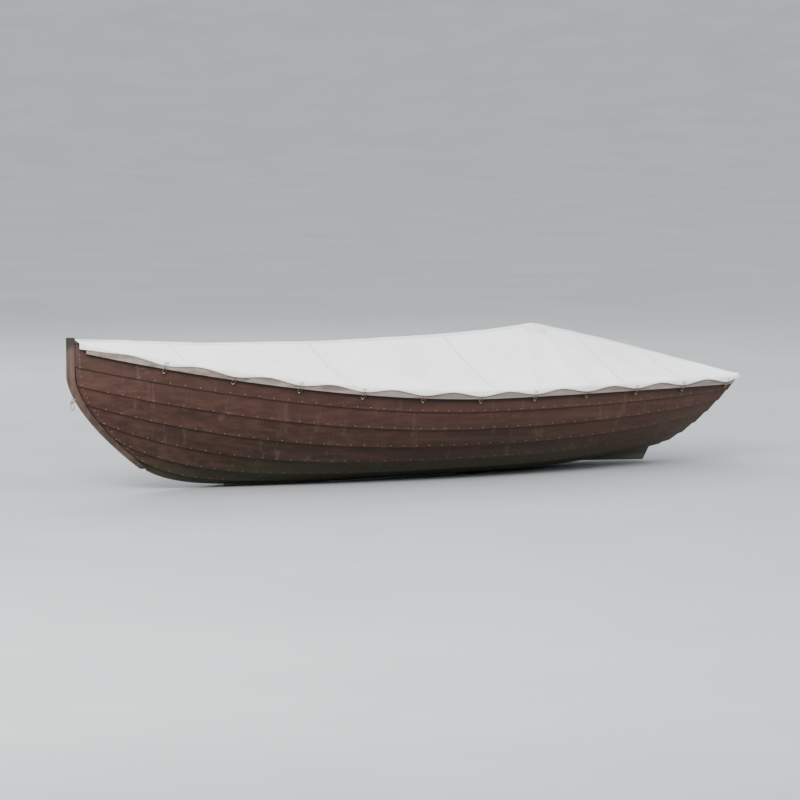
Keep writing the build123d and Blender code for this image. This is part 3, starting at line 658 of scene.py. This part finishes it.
def make_cover(slots):
    """One tensioned canvas over the pole, with its seams, hem, ridge patch, bolt rope and stitches."""
    shape = CoverShape()
    cloth = Cloth(shape)
    step = 0.012
    count = int((shape.end - shape.start) / step)
    xs = [shape.start + (shape.end - shape.start) * i / count for i in range(count + 1)]
    half = [TURN * (i / 34) for i in range(35)]
    half += [TURN + (1 - TURN) * s for s in (0.1, 0.2, 0.3, 0.45, 0.6, 0.8, 1.0)]
    shares = [-s for s in reversed(half[1:])] + half
    verts = cloth_grid(cloth, xs, shares, -0.0006)
    faces = grid_faces(len(xs), len(shares))
    sheet = new_mesh("cover_canvas", verts, faces, slots["canvas"], "cover")
    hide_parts("cover_port", "cover_starboard")
    double = stitched_canvas((0.15, 0.85))
    hem_cloth = stitched_canvas((0.9,), "ebebe9")
    fine = [shape.start + (shape.end - shape.start) * i / 460 for i in range(461)]
    strip(cloth, "seam_ridge", [(x, 0.0) for x in fine], 0.024, 0.0008, double)
    across = [i / 40 * 0.93 for i in range(-40, 41)]
    for i, x in enumerate(CROSS_SEAMS):
        strip(cloth, f"seam_cross_{i + 1}", [(x, s) for s in across], 0.018, 0.0007, double)
    for name, side in SIDES.items():
        hem_band(cloth, f"hem_band_{name}", fine, side, hem_cloth)
        hem_rope(cloth, f"hem_rope_{name}", fine, side, slots["canvas"])
    ends = [i / 60 for i in range(-60, 61)]
    start, end = shape.start + 0.014, shape.end - 0.014
    strip(cloth, "hem_stern", [(start, s * 0.985) for s in ends], 0.026, 0.0009, double)
    strip(cloth, "hem_bow", [(end, s * 0.985) for s in ends], 0.026, 0.0009, double)
    ridge_patch(cloth, double)
    width = max(sheet_girth(cloth, x) for x in (-0.9, -0.5, -0.2))


def sheet_girth(cloth, x):
    """Length of the cloth from hem to hem at x."""
    points = [cloth.point(x, s / 40) for s in range(-40, 41)]
    return sum((b - a).length for a, b in zip(points, points[1:]))


def hem_band(cloth, name, xs, side, material):
    """Doubled cloth along the hem, up to 20 mm deep, on the outside of the skirt."""
    verts, uvs, run = [], [], 0.0
    before = None
    for x in xs:
        low = cloth.point(x, side * 1.0, 0.0)
        outward = Vector((0, side, 0))
        run += (low - before).length if before is not None else 0.0
        before = low
        edge, hem = cloth.shape.station(x)
        top = cloth.shape.top(x, edge - BEND) - BEND
        depth = min(0.020, max(0.006, top - hem))
        for share, out in ((0.0, 0.0002), (0.02, 0.0009), (0.5, 0.0010), (0.96, 0.0009), (1.0, -0.0004)):
            verts.append(Vector((x, low.y, low.z + depth * share)) + outward * out)
            uvs.append((run, share))
    return new_mesh(name, verts, grid_faces(len(xs), 5), material, "cover", uvs)


def hem_rope(cloth, name, xs, side, material):
    """The bolt rope rolled into the hem's edge."""
    curve = bpy.data.curves.new(name, "CURVE")
    curve.dimensions = "3D"
    curve.bevel_depth = 0.0017
    curve.bevel_resolution = 2
    spline = curve.splines.new("POLY")
    spline.points.add(len(xs) - 1)
    for point, x in zip(spline.points, xs):
        low = cloth.point(x, side * 1.0, 0.0)
        point.co = (x, low.y - side * 0.0006, low.z + 0.0012, 1.0)
    curve.materials.append(material)
    obj = bpy.data.objects.new(name, curve)
    bpy.context.scene.collection.objects.link(obj)
    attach(obj, "cover")
    return obj


def ridge_patch(cloth, material):
    """Round reinforcement sewn over the pole's cap."""
    verts, uvs = [cloth.point(POLE_X, 0.0, 0.0022)], [(0.0, 0.0)]
    rings, turns, radius = 7, 48, 0.085
    edge = cloth.shape.station(POLE_X)[0]
    for i in range(1, rings + 1):
        share = i / rings
        for j in range(turns):
            angle = 2 * pi * j / turns
            x = POLE_X + radius * share * cos(angle)
            across = radius * share * sin(angle) / edge * TURN
            verts.append(cloth.point(x, across, 0.0020 if i < rings else -0.0006))
            uvs.append((2 * pi * radius * j / turns, share))
    return new_mesh("ridge_patch", verts, ring_faces(rings, turns), material, "cover", uvs)


# ---------------------------------------------------------------- rivets
RIVET_PITCH = 0.078
RIVETS_FROM, RIVETS_OVER = -1.93, 3.95
RIVET_MARGIN = 0.0095  # from a strake's lower edge up to its rivets
END_PITCH = 0.024
PLUG_PITCH = 0.18


def dome(radius, height, turns=8):
    """A rivet head: points and faces with +Z out of the wood."""
    verts = [(0.0, 0.0, height)]
    for share, up in ((0.55, 0.86), (0.9, 0.45), (1.0, -0.3)):
        for j in range(turns):
            angle = 2 * pi * j / turns
            verts.append((radius * share * cos(angle), radius * share * sin(angle), height * up))
    return verts, ring_faces(3, turns)


def facing(normal, way):
    """The normal, turned round if it points against way."""
    return normal if normal.dot(way) > 0 else -normal


def lap_places():
    """Where the rivets go: just above each strake's lower edge, from outside, on the port side."""
    tree, owner = tree_of(*[f"{name}_port" for name in STRAKES])
    places = []
    for i in range(int(RIVETS_OVER / RIVET_PITCH)):
        x = RIVETS_FROM + RIVET_PITCH * i
        centre = Vector((x, 0.0, 0.50 + 0.07 * max(0.0, x)))
        last = None
        for step in range(460):
            angle = radians(88.0 - 0.2 * step)
            way = Vector((0.0, cos(angle), -sin(angle)))
            hit, _, face, _ = tree.ray_cast(centre + way * 1.4, -way)
            if hit is None:
                continue
            name = owner[face]
            rank = STRAKES.index(name.removesuffix("_port"))
            if last is not None and rank > last:
                up = angle - RIVET_MARGIN / max(0.15, (hit - centre).length)
                way = Vector((0.0, cos(up), -sin(up)))
                spot, normal, face, _ = tree.ray_cast(centre + way * 1.4, -way)
                if spot is not None and owner[face] == name:
                    places.append((spot, facing(normal, way)))
            last = rank
    return places


def end_places():
    """Fastenings through the plank ends into the stem and the transom, on the port side."""
    tree, _ = tree_of(*[f"{name}_port" for name in STRAKES])
    port = Vector((0, 1, 0))
    tries = []
    for i in range(26):
        z = 0.17 + i * END_PITCH
        probe = tree.ray_cast(Vector((3.0, 0.022, z)), Vector((-1, 0, 0)))[0]
        if probe is not None:
            tries.append((probe.x - 0.020, z))
    for i in range(14):
        z = 0.16 + i * END_PITCH
        face = TRANSOM_TOP_X - TRANSOM_THICK + (TRANSOM_TOP_Z - z) * tan(TRANSOM_RAKE)
        tries.append((face + 0.014, z))
    places = []
    for x, z in tries:
        hit, normal, _, _ = tree.ray_cast(Vector((x, 1.0, z)), -port)
        if hit is not None:
            places.append((hit, facing(normal, port)))
    return places


def put_heads(name, places, head, material):
    """A head at every place on the port side and its mirror to starboard, one mesh for each side."""
    head_verts, head_faces = head
    for side_name, side in SIDES.items():
        verts, faces = [], []
        for spot, normal in places:
            place = Vector((spot.x, spot.y * side, spot.z))
            turn = Vector((normal.x, normal.y * side, normal.z)).to_track_quat("Z", "X")
            start = len(verts)
            verts += [place + turn @ Vector(v) for v in head_verts]
            faces += [tuple(start + i for i in f) for f in head_faces]
        new_mesh(f"{name}_{side_name}", verts, faces, material, "hull")


def make_rivets():
    put_heads("rivets", lap_places() + end_places(), dome(0.0042, 0.0016), rivet_copper())


def rail_plugs():
    """Wooden plugs over the rub rails' screws, evenly along their outer faces."""
    wood = bare_wood("plug_wood", rgb("5b524c"), rgb("7a716b"), rgb("9a938d"), (0.6, 0.8), 0.0004)
    tree, _ = tree_of("rub_rail_port")
    low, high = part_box("rub_rail_port")
    places = []
    for i in range(22):
        x = low[0] + 0.10 + PLUG_PITCH * i
        outer_face = []
        for step in range(200):
            z = low[2] + (high[2] - low[2]) * step / 199
            hit, normal, _, _ = tree.ray_cast(Vector((x, 1.2, z)), Vector((0, -1, 0)))
            if hit is not None and normal.y > 0.5:
                outer_face.append((hit, normal))
        if outer_face:
            places.append(outer_face[int(len(outer_face) * 0.36)])
    put_heads("rail_plugs", places, dome(0.0062, 0.0005, 14), wood)


# ---------------------------------------------------------------- studio
FLOOR_RADIUS, BOWL_SPAN, BOWL_RISE = 40.0, 50.0, 16.0
FLOOR_RINGS, FLOOR_TURNS = 24, 96
AZIMUTH, ELEVATION, DISTANCE = radians(150.0), radians(5.0), 25.0
FRAME_WIDTH = 4.55  # metres across the picture at the boat
AIM_Z = 0.43
SENSOR = 36.0


def light(name, place, target, size, power, tone):
    data = bpy.data.lights.new(name, "AREA")
    data.shape = "RECTANGLE"
    data.size, data.size_y = size
    data.energy = power
    data.color = tone
    obj = bpy.data.objects.new(name, data)
    obj.location = place
    obj.rotation_euler = (Vector(target) - Vector(place)).to_track_quat("-Z", "Y").to_euler()
    bpy.context.scene.collection.objects.link(obj)


def floor_bowl():
    """Pale floor that curves up far away, so that no horizon shows."""
    m = Mat("floor_plain")
    tone = m.mix(m.span(m.noise(0.8, 3.0), 0.3, 0.7), rgb("979a9c"), rgb("9da0a2"))
    shares = [i / FLOOR_RINGS for i in range(1, FLOOR_RINGS + 1)]
    rings = [(FLOOR_RADIUS * share, 0.0) for share in shares]
    rings += [(FLOOR_RADIUS + BOWL_SPAN * share, BOWL_RISE * share ** 2) for share in shares]
    angles = [tau * j / FLOOR_TURNS for j in range(FLOOR_TURNS)]
    corners = [(0.0, 0.0, 0.0)]
    for radius, rise in rings:
        corners += [(radius * cos(angle), radius * sin(angle), rise) for angle in angles]
    mesh = bpy.data.meshes.new("floor")
    mesh.from_pydata(corners, [], ring_faces(len(rings), FLOOR_TURNS))
    mesh.shade_smooth()
    mesh.materials.append(m.finish(tone, 0.85, Specular_IOR_Level=0.2))
    floor = bpy.data.objects.new("floor", mesh)
    bpy.context.scene.collection.objects.link(floor)


def view():
    """The camera, turned to the photograph's view of the boat."""
    centre = Vector(((CAD_BOX[0][0] + CAD_BOX[1][0]) / 2, 0.0, AIM_Z))
    level = cos(ELEVATION)
    away = Vector((sin(AZIMUTH) * level, -cos(AZIMUTH) * level, sin(ELEVATION)))
    data = bpy.data.cameras.new("camera")
    data.sensor_width = SENSOR
    data.lens = SENSOR * DISTANCE / FRAME_WIDTH
    data.clip_start, data.clip_end = 0.5, 200.0
    camera = bpy.data.objects.new("camera", data)
    camera.location = centre + away * DISTANCE
    camera.rotation_euler = (-away).to_track_quat("-Z", "Y").to_euler()
    bpy.context.scene.collection.objects.link(camera)
    bpy.context.scene.camera = camera


def studio():
    """Floor, soft sky light, three broad lamps and the camera."""
    floor_bowl()
    world = bpy.data.worlds.new("soft_sky")
    world.use_nodes = True
    background = world.node_tree.nodes["Background"]
    background.inputs["Color"].default_value = (0.90, 0.92, 0.95, 1.0)
    background.inputs["Strength"].default_value = 1.75
    bpy.context.scene.world = world
    light("key", (7.5, 6.5, 6.5), (0, 0, 0.4), (7.0, 4.0), 1900.0, (1.0, 0.985, 0.96))
    light("fill", (-8.0, 5.0, 4.5), (0, 0, 0.4), (7.0, 5.0), 420.0, (0.94, 0.97, 1.0))
    light("back", (-1.0, -9.0, 6.5), (0, 0, 0.5), (9.0, 4.0), 800.0, (0.96, 0.98, 1.0))
    view()


studio()
slots = dress()
make_cover(slots)
make_rivets()
rail_plugs()
